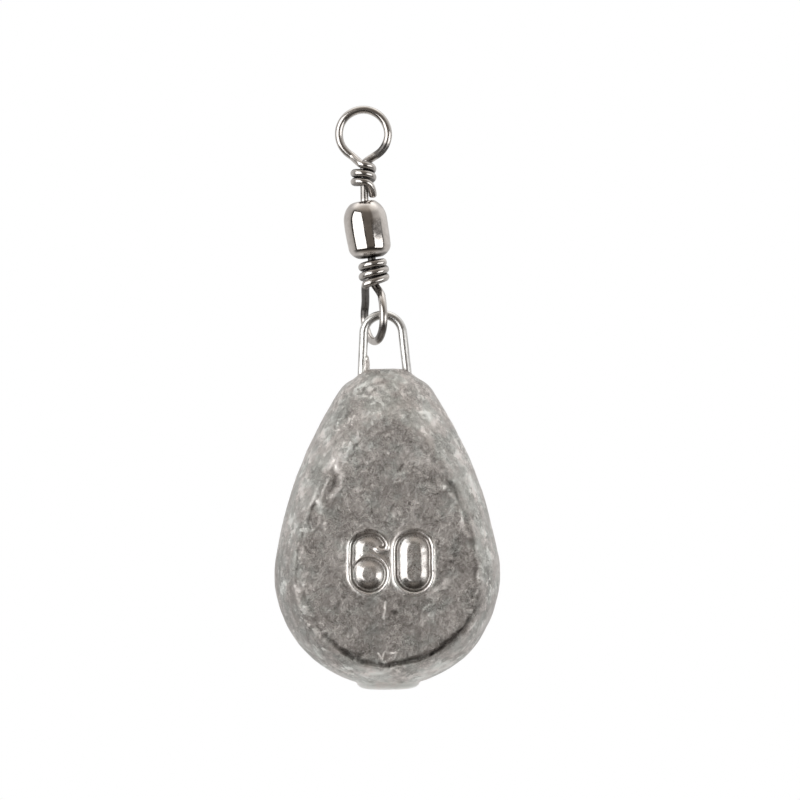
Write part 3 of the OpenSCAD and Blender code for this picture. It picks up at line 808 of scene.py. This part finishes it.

# Dents, creases and scuffs of the front: (points, width, height, tone); the tone is partly each mark's own
# colour and partly painted highlight and shade on its folds
MARKS = [
    ([(-1.71, 17.74), (-0.29, 17.85), (0.46, 17.01)], 0.16, 0.05, 0.3),
    ([(-2.39, 16.92), (-1.44, 16.77)], 0.14, 0.04, 0.3),
    ([(-2.9, 17.85), (-1.59, 18.03)], 0.13, 0.03, 0.22),
    ([(-0.87, 19.04), (-0.16, 18.68)], 0.2, -0.05, -0.16),
    ([(0.58, 19.05), (1.53, 19)], 0.3, -0.08, 0.1),
    ([(1.85, 18.14), (2.92, 18.32)], 0.14, 0.03, 0.22),
    ([(0.71, 18.01), (1.18, 17.67)], 0.13, 0.03, 0.22),
    ([(-3.86, 17.29), (-2.78, 17.75)], 0.14, 0.03, 0.12),
    ([(2.33, 18.66), (3.27, 17.82)], 0.12, 0.03, 0.16),
    ([(1.44, 15.1), (1.54, 14.96)], 0.26, 0.03, 0.2),
    ([(4.01, 15.08), (4.54, 14)], 0.26, 0.05, 0.22),
    ([(3.49, 15.32), (4.2, 15.2)], 0.16, 0.03, 0.18),
    ([(-5.01, 15.97), (-4.2, 16.27)], 0.13, -0.06, -0.2),
    ([(-5.98, 13.32), (-5.79, 13.22)], 0.16, 0.04, 0.28),
    ([(-4.81, 11.41), (-4.67, 11.26)], 0.13, 0.03, 0.26),
    ([(-7.5, 9.2), (-7.35, 9.01)], 0.14, 0.03, 0.24),
    ([(-8.02, 8.49), (-8.18, 7.59)], 0.16, 0.04, 0.26),
    ([(-9, 5.27), (-9.1, 4.99)], 0.14, 0.03, 0.24),
    ([(-2.66, 13), (-3.82, 11.4), (-4.58, 10.6)], 0.13, 0.08, 0.27),
    ([(-2.4, 12.7), (-3.5, 11.2), (-4.25, 10.4)], 0.11, -0.06, -0.16),
    ([(-4.68, 10.36), (-4.22, 9.41), (-4.32, 8.36), (-4.95, 7.51)], 0.18, 0.14, 0.38),
    ([(-4.83, 9.7), (-4.7, 8.75), (-5.23, 7.8)], 0.16, -0.14, -0.22),
    ([(-5.26, 9.42), (-5.94, 8), (-6.19, 6.96)], 0.13, 0.12, 0.34),
    ([(-6.42, 7.05), (-6, 6.57)], 0.2, 0.14, 0.42),
    ([(-7, 6.51), (-6.42, 6.86)], 0.13, -0.1, -0.34),
    ([(-6.19, 6.15), (-6.44, 4.96), (-6.88, 4.3)], 0.14, 0.08, 0.32),
    ([(-7.14, 6.39), (-7.49, 4.5)], 0.12, -0.1, -0.26),
    ([(-5.61, 7.33), (-5.13, 8.28)], 0.1, -0.06, -0.1),
    ([(-0.85, 13.18), (0.15, 13.55), (0.86, 13.73)], 0.1, -0.07, -0.12),
    ([(-0.57, 12.89), (0.33, 13.21)], 0.09, 0.06, 0.14),
    ([(-2, 13), (-2.72, 12.05)], 0.09, 0.05, 0.12),
    ([(-0.16, 11.7), (0.22, 11.41)], 0.12, 0.04, 0.22),
    ([(1.11, 9.83), (1.97, 10.54), (2.68, 10.39)], 0.13, -0.1, -0.3),
    ([(1.3, 9.5), (2.3, 10.11)], 0.1, 0.07, 0.2),
    ([(1.77, 9.64), (2.73, 10.29)], 0.08, -0.06, -0.14),
    ([(0.48, 8.65), (1.29, 8.93)], 0.09, 0.05, 0.16),
    ([(0.8, 7.75), (2.22, 6.78)], 0.1, -0.04, -0.08),
    ([(0.07, 5.85), (0.7, 6.8)], 0.1, -0.05, -0.1),
    ([(3.2, 9.86), (4.62, 8.9)], 0.1, -0.04, -0.09),
    ([(4.16, 10.56), (5.33, 9.6)], 0.1, 0.04, 0.1),
    ([(5.37, 8.32), (5.42, 8.22)], 0.17, 0.06, 0.55),
    ([(5.33, 9.37), (6.41, 8.17), (6.88, 6.74)], 0.13, -0.12, -0.3),
    ([(5.94, 7.79), (6.59, 6.74), (6.96, 5.74), (7.09, 4.6)], 0.16, 0.1, 0.36),
    ([(5.57, 9.6), (6.98, 7.69), (7.91, 5.3)], 0.12, -0.07, -0.2),
    ([(6.29, 9.83), (7.69, 7.21)], 0.09, 0.05, 0.08),
    ([(7.91, 5.78), (8.56, 4.44)], 0.12, -0.07, -0.14),
    ([(6.82, 11.44), (7.43, 10.49)], 0.24, 0.05, 0.18),
    ([(7.71, 9.3), (8.69, 7.62)], 0.22, 0.04, 0.16),
    ([(5.36, 12.22), (6.3, 11.26)], 0.14, -0.03, -0.1),
    ([(-7.49, 5.16), (-7.59, 3.74), (-8.24, 0.89), (-7.88, -1.2)], 0.15, 0.07, 0.26),
    ([(-7.95, 5.0), (-8.05, 3.6), (-8.6, 0.9), (-8.3, -1.4)], 0.1, -0.06, -0.16),
    ([(-8.1, 0.3), (-8.01, -0.11)], 0.14, -0.08, -0.18),
    ([(-8.68, -0.95), (-8.16, -1.2)], 0.18, 0.04, 0.26),
    ([(-9.82, -0.52), (-9.58, -0.8)], 0.16, 0.03, 0.2),
    ([(-6.78, -5.29), (-5.54, -5.16), (-5.5, -5.83)], 0.14, 0.07, 0.14),
    ([(-7.2, -5.05), (-6.54, -5.58)], 0.12, -0.07, -0.14),
    ([(-5.36, -5.74), (-4.42, -6.88), (-3.19, -7.85), (-2.24, -8.24)], 0.16, -0.12, -0.16),
    ([(-4.08, -7.03), (-2.76, -7.52)], 0.26, -0.12, -0.16),
    ([(-6.79, -7), (-6.09, -8.06)], 0.13, 0.06, 0.22),
    ([(-6.56, -7.2), (-5.81, -8.3)], 0.1, -0.06, -0.16),
    ([(-2.2, -8.24), (-1.01, -8.56), (0.18, -8.45)], 0.17, -0.12, -0.18),
    ([(0.18, -8.45), (1.13, -8.27), (3.03, -7.88), (4.22, -7.44)], 0.2, -0.21, -0.25),
    ([(4.22, -7.44), (5.42, -6.5), (6.86, -5.23), (7.82, -4.29)], 0.23, -0.27, -0.3),
    ([(7.82, -4.29), (8.35, -3.06)], 0.14, -0.16, -0.22),
    ([(-0.86, -7.25), (-0.53, -7.78), (-0.21, -7.11)], 0.08, 0.06, 0.45),
    ([(0.09, -7.31), (0.81, -7.24)], 0.08, 0.05, 0.42),
    ([(-0.2, -2.55), (-0.37, -3.98)], 0.1, 0.07, 0.5),
    ([(0.45, -3.42), (0.88, -3.5)], 0.2, -0.1, -0.3),
    ([(0.99, -3.28), (0.98, -4.04)], 0.07, 0.05, 0.2),
    ([(3.21, 1.36), (4.12, 1.49)], 0.07, -0.06, -0.22),
    ([(4.93, 1.48), (6.35, 1.33)], 0.07, -0.07, -0.26),
    ([(4.06, 0.3), (5.96, 0.52)], 0.08, -0.04, -0.1),
    ([(3.03, -3.58), (4.03, -2.64)], 0.11, 0.06, 0.22),
    ([(3.35, -4.06), (4.26, -3.55)], 0.09, 0.05, 0.18),
    ([(4.02, -3.59), (4.39, -4.54)], 0.16, 0.05, 0.16),
    ([(8.36, 2.69), (8.63, 1.88)], 0.12, 0.06, 0.34),
    ([(7.49, -4.1), (7.19, -4.76)], 0.13, 0.08, 0.34),
    ([(7.83, -3.29), (8.11, -3.68)], 0.1, 0.05, 0.24),
    ([(8.54, 1.92), (8.67, 0.26), (8.36, -2.11), (8.21, -3.06)], 0.14, 0.08, 0.24),
    ([(8.16, 1.93), (8.24, 0.03), (7.93, -2.11)], 0.1, -0.06, -0.14),
    ([(4.04, -1.64), (5.57, -0.61)], 0.34, 0.03, 0.1),
    ([(5.18, -6.83), (3.5, -8.24)], 0.1, 0.04, 0.06),
    ([(5.21, -8.78), (6.6, -7.8)], 0.36, 0.05, 0.24),
    ([(5.5, -8.26), (6.44, -8.74)], 0.18, 0.04, 0.2),
    ([(6.87, -4.47), (8.06, -3.53)], 0.1, -0.05, -0.1),
    ([(8.76, -5.06), (9.81, -4.31)], 0.28, 0.04, 0.16),
    ([(7, 4.84), (7.65, 3.64)], 0.24, 0.04, 0.18),
    ([(8.99, 4.11), (9.22, 3.77)], 0.18, 0.04, 0.24),
    ([(-1.73, -9.19), (0.22, -8.92)], 0.26, 0.04, 0.18),
    ([(1.78, -9.56), (3.12, -8.95)], 0.12, -0.07, -0.22),
    ([(-4.1, -8.65), (-2.92, -9.42)], 0.14, -0.04, -0.12),
    ([(0.64, -9.59), (1.11, -9.88)], 0.1, -0.05, -0.16),
    ([(3.5, -9.19), (4.64, -8.87)], 0.14, 0.04, 0.18),
    ([(1.59, -10.12), (3.01, -10.37)], 0.16, 0.03, 0.16),
    ([(3.5, 15.3), (4.7, 13.4)], 0.55, 0.03, 0.2),
    ([(-3.4, 17.6), (-1.0, 17.7)], 0.45, 0.03, 0.34),
    ([(-2.6, 18.5), (2.4, 18.6)], 0.35, 0.03, 0.16),
    ([(-6.2, 13.5), (-5.6, 12.6)], 0.4, 0.03, 0.24),
    ([(-7.6, 9.4), (-8.2, 7.4)], 0.4, 0.03, 0.24),
    ([(-8.9, 5.6), (-9.3, 3.2)], 0.35, 0.03, 0.14),
    ([(-9.4, 2.0), (-9.6, -1.5)], 0.4, 0.02, 0.12),
    ([(6.7, 11.6), (9.0, 6.4)], 0.5, 0.02, 0.16),
    ([(8.9, 5.4), (9.6, 1.0)], 0.4, 0.02, 0.14),
    ([(5.0, -8.9), (7.2, -7.3)], 0.6, 0.03, 0.2),
    ([(-7.6, -6.4), (-4.6, -8.9)], 0.5, 0.02, 0.14),
    ([(-3.4, -9.4), (3.4, -9.7)], 0.5, 0.02, 0.12),
    ([(4.2, -2.2), (5.6, -0.4)], 0.5, 0.02, 0.12),
    ([(3.2, -4.4), (5.0, -3.2)], 0.5, 0.02, 0.12),
    ([(-1.4, -9.6), (2.6, -8.9)], 0.34, -0.03, -0.16),
    ([(7.4, -5.9), (5.6, -7.9)], 0.34, -0.02, -0.12),
    ([(-7.9, -4.6), (-6.4, -6.9)], 0.34, -0.02, -0.12),
]
mark_u = u + 0.11 * layered(base, 0.7, 3, 101)
mark_w = w + 0.11 * layered(base, 0.7, 3, 111)
broken = np.clip(0.72 + 0.75 * layered(base, 0.5, 2, 121), 0.1, 1.25)
crisp = step(layered(base, 0.5, 3, 151), -0.1, 0.2)
PALE_GAIN, DARK_GAIN, HEIGHT_GAIN = 1.3, 0.95, 0.85
for line, width, height, shade in MARKS:
    # Narrow marks are broken up, and the widest are ragged patches
    whole = float(step(width, 0.15, 0.2))
    bell = np.exp(-(to_line(mark_u, mark_w, line) / width) ** 2) * is_front
    bell = bell * (broken + (1 - broken) * whole)
    if width > 0.3:
        bell = bell * crisp
    move = move + HEIGHT_GAIN * height * bell
    # The mark's tone: its own colour together with painted highlight and shade
    tone_and_painted_light = tone_and_painted_light + (PALE_GAIN if shade > 0 else DARK_GAIN) * shade * bell

# Fine scratches all round
SCRATCHES = 150
rng = np.random.default_rng(7)
for _ in range(SCRATCHES):
    a = rng.uniform(0, 2 * math.pi)
    cu, cw = rng.uniform(-9, 9), rng.uniform(-9.5, 17)
    size = rng.uniform(0.3, 1.4)
    bend = rng.uniform(-0.4, 0.4) * size
    d = np.array([math.cos(a), math.sin(a)]) * size / 2
    n = np.array([-d[1], d[0]]) * bend
    c = np.array([cu, cw])
    far = to_line(u, w, [c - d, c + n, c + d])
    face = is_front if rng.uniform() < 0.6 else 1 - is_front
    bell = np.exp(-(far / rng.uniform(0.07, 0.13)) ** 2) * face * (1 - polish)
    move = move + rng.choice([-1, 0.7]) * rng.uniform(0.01, 0.03) * bell
    tone_and_painted_light = tone_and_painted_light + rng.uniform(-0.06, 0.10) * bell

body = base + move[..., None] * out
points = np.vstack([body.reshape(-1, 3), [[0, 0, OUTLINE[0, 1]]], [[0, 0, PEAR_TOP + DOME_TOP]]])
faces = tube_faces(ROWS, COLS)

points = lean(points - np.array([0, 0, TOP_H]), BODY_LEAN) + TOP_AT
body_count = len(points)

# Lead that crept up the inner side of the left leg
CREPT_LOW, CREPT_HIGH = -0.6, 1.45
rise = np.linspace(CREPT_LOW, CREPT_HIGH, 34)
thick = np.interp(rise, [CREPT_LOW, 0.2, 1.0, CREPT_HIGH], [0.55, 0.42, 0.26, 0.1])
crept, crept_faces = sweep([[0, 0, z] for z in rise], thick)
crept = uneven(crept, 0.11, 0.5, 81) + np.array([LOOP_R - ARCH_R - 0.05, -0.26, -LOOP_RISE])
points = np.vstack([points, lean(crept, LOOP_LEAN - LEG_SPLAY) + LOOP_AT])
faces = faces + [tuple(k + body_count for k in f) for f in crept_faces]

lead = build("lead_body", points, faces, "sinker", ["sinker_body"], LEAD)
# The grid's own values, and one value for the end points and the crept lead
for name, grid, elsewhere in (("tone_and_painted_light", tone_and_painted_light, 0.26), ("polish", polish, 0.2), ("flaky", flaky, 0.4)):
    values = np.full(len(points), elsewhere)
    values[:grid.size] = grid.reshape(-1)
    give(lead, name, values)


# ---- camera ----
SPAN, AWAY, SENSOR = 76.0, 600.0, 36
AIM_X, AIM_Z = 3.47, -25.25
camera = bpy.data.objects.new("camera", bpy.data.cameras.new("camera"))
bpy.context.scene.collection.objects.link(camera)
camera.data.sensor_width = SENSOR
camera.data.lens = SENSOR * AWAY / SPAN
camera.data.clip_start, camera.data.clip_end = 0.01, 20
camera.location = (AIM_X * MM, -AWAY * MM, AIM_Z * MM)
camera.rotation_euler = (math.pi / 2, 0, 0)
bpy.context.scene.camera = camera


# ---- studio ----
def studio():
    """White behind the object, a dim warm room in front of it, and two soft boxes."""
    world = bpy.data.worlds.new("studio")
    bpy.context.scene.world = world
    world.use_nodes = True
    g = Graph(world.node_tree)
    way = g.add("ShaderNodeSeparateXYZ", {0: g.add("ShaderNodeTexCoord").outputs["Generated"]}).outputs
    side = g.math("ARCTAN2", way[0], g.times(way[1], -1.0))
    up = g.math("ARCSINE", way[2])
    deg = math.pi / 180

    def rise(value, at, soft):
        return g.span(value, (at - soft) * deg, (at + soft) * deg)

    def fall(value, at, soft):
        return g.span(value, (at - soft) * deg, (at + soft) * deg, 1, 0)

    def box(left, right, low, high, soft=2, slant=0.0, tilt=0.0):
        """1 inside a box of directions, in degrees, whose right side slants and whose top tilts."""
        leaning = g.plus(side, g.times(g.most(up, 0.0), slant))
        tilted = g.minus(up, g.times(g.minus(side, deg * (left + right) / 2), tilt))
        across = g.times(rise(side, left, soft), fall(leaning, right, soft))
        return g.times(across, g.times(rise(up, low, soft), fall(tilted, high, soft)))

    room = g.ramp(g.span(way[1], -1.0, 1.0), [
        (0.0, (0.165, 0.146, 0.128)), (0.14, (0.185, 0.167, 0.149)), (0.35, (0.32, 0.305, 0.285)),
        (0.575, (0.56, 0.55, 0.535)), (0.84, (0.72, 0.715, 0.71)), (0.97, (0.82, 0.82, 0.82)),
        (0.995, (1.0, 1.0, 1.0))])

    # Darker places: under the object, between the soft boxes and round them
    front = g.span(way[1], -0.1, 0.5, 1, 0)
    under = g.times(rise(up, -46, 4), fall(up, -24, 3))
    dim = g.times(under, g.times(front, 0.75))
    frames = g.most(box(-84, -9, -29, 42, 2, 0.35), box(27, 88, -29, 9, 2, 0, 0.09))
    middle = g.times(box(-22, 34, -34, -8, 7), 0.72)
    dim = g.most(dim, middle, g.times(frames, 0.93))

    above = g.times(rise(up, 48, 12), 1.35)
    below = g.times(fall(up, -62.5, 12.5), 0.8)
    level = g.times(g.minus(1.0, dim), g.plus(above, below, 1.0))
    room = g.scaled(room, level)
    left_box = g.times(box(-73, -15, -22, 36, 2.5, 0.35), 2.58)
    right_box = g.times(box(32, 80, -22, 5.6, 1.4, 0, 0.09), 2.3)
    fill = g.times(box(42, 150, 9, 70, 9), 0.27)
    light = g.plus(left_box, right_box, fill)
    light = g.add("ShaderNodeCombineXYZ", {0: light, 1: light, 2: light}).outputs[0]
    sky = g.vector("ADD", room, light)
    ray = g.add("ShaderNodeLightPath").outputs
    shown = g.most(ray["Is Glossy Ray"], ray["Is Transmission Ray"])
    seen = g.add("ShaderNodeBackground", {"Color": sky, "Strength": g.span(shown, 0, 1, 0.9, 1.0)})
    white = g.add("ShaderNodeBackground", {"Color": (1, 1, 1, 1), "Strength": 1.0})
    both = g.add("ShaderNodeMixShader", {0: ray["Is Camera Ray"], 1: seen.outputs[0], 2: white.outputs[0]})
    g.add("ShaderNodeOutputWorld", {"Surface": both.outputs[0]})


studio()


def floor():
    """A pale floor under the hanging object that fades into the white round it."""
    mesh = bpy.data.meshes.new("floor")
    corners, radius, height = 96, 400 * MM, -88 * MM
    turns = [2 * math.pi * i / corners for i in range(corners)]
    ring = [(radius * math.cos(a), radius * math.sin(a), height) for a in turns]
    mesh.from_pydata(ring, [], [tuple(range(corners))])
    made, g = material("pale_floor")
    spot = g.vector("MULTIPLY", g.add("ShaderNodeTexCoord").outputs["Object"], (1.0, 1.0, 0.0))
    far = g.add("ShaderNodeVectorMath", {0: spot}, operation="LENGTH").outputs["Value"]
    fade = g.span(far, 0.1, 0.38)
    pale = g.add("ShaderNodeBsdfDiffuse", {"Color": (0.86, 0.86, 0.85, 1)}).outputs[0]
    clear = g.add("ShaderNodeBsdfTransparent").outputs[0]
    both = g.add("ShaderNodeMixShader", {0: fade, 1: pale, 2: clear}).outputs[0]
    g.add("ShaderNodeOutputMaterial", {"Surface": both})
    mesh.materials.append(made)
    ground = bpy.data.objects.new("floor", mesh)
    bpy.context.scene.collection.objects.link(ground)
    ground.visible_glossy = False
    ground.visible_diffuse = False


floor()

bpy.context.scene.view_settings.view_transform = "Standard"
